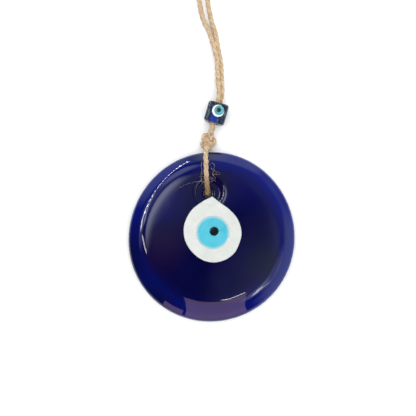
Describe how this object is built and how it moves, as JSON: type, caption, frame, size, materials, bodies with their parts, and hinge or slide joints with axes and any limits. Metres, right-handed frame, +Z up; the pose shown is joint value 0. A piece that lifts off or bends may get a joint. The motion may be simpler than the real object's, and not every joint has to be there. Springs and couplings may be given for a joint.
{
  "type": "evil eye ornament",
  "caption": "Cobalt glass disc with a fused white, light blue and dark eye, on a knotted jute cord that carries a small cube bead with its own eye.",
  "frame": {"origin": "on the table under the middle of the glass disc, which lies face up", "axes": "+Z up, out of the face of the disc; +Y from the eye towards the hole and the hanging loop; +X to the right seen from above"},
  "size_m": [0.0791, 0.2182, 0.0132],
  "materials": {
    "cobalt_glass": "fire polished, deep cobalt blue, bluer where it is thin",
    "white_glass": "opaque white glass, softly glossy with fine pores",
    "blue_glass": "opaque light blue glass, softly glossy",
    "dark_glass": "opaque near-black glass, glossy",
    "bead_glass": "dark cobalt glass with rounded, slightly uneven edges",
    "turquoise_glass": "opaque turquoise glass, glossy",
    "jute": "natural twisted jute twine with loose fibres"
  },
  "bodies": {
    "disc": {"glass_disc": "cobalt_glass", "eye_white": "white_glass", "eye_iris": "blue_glass", "eye_pupil": "dark_glass"},
    "cord_loop": {"cord_loop_front": "jute", "cord_loop_rear": "jute", "lower_knot": "jute"},
    "hanging_cord": {"strand_left": "jute", "strand_right": "jute", "top_knot": "jute", "tail_left": "jute", "tail_right": "jute"},
    "bead": {"bead_body": "bead_glass", "bead_eye_white": "white_glass", "bead_eye_iris": "turquoise_glass", "bead_eye_pupil": "dark_glass"}
  },
  "joints": [
    {"name": "loop_swing", "type": "hinge", "parent": "disc", "child": "cord_loop", "pos_m": [-0.0019, 0.0209, 0.006], "axis": [0, 0, 1], "range_deg": [-8, 12]},
    {"name": "cord_fold", "type": "hinge", "parent": "cord_loop", "child": "hanging_cord", "pos_m": [-0.0017, 0.0458, 0.00395], "axis": [1, 0, 0], "range_deg": [0, 75]},
    {"name": "bead_slide", "type": "slide", "parent": "hanging_cord", "child": "bead", "axis": [0.2504, 0.9681, 0], "range_m": [-0.0035, 0.003]}
  ]
}
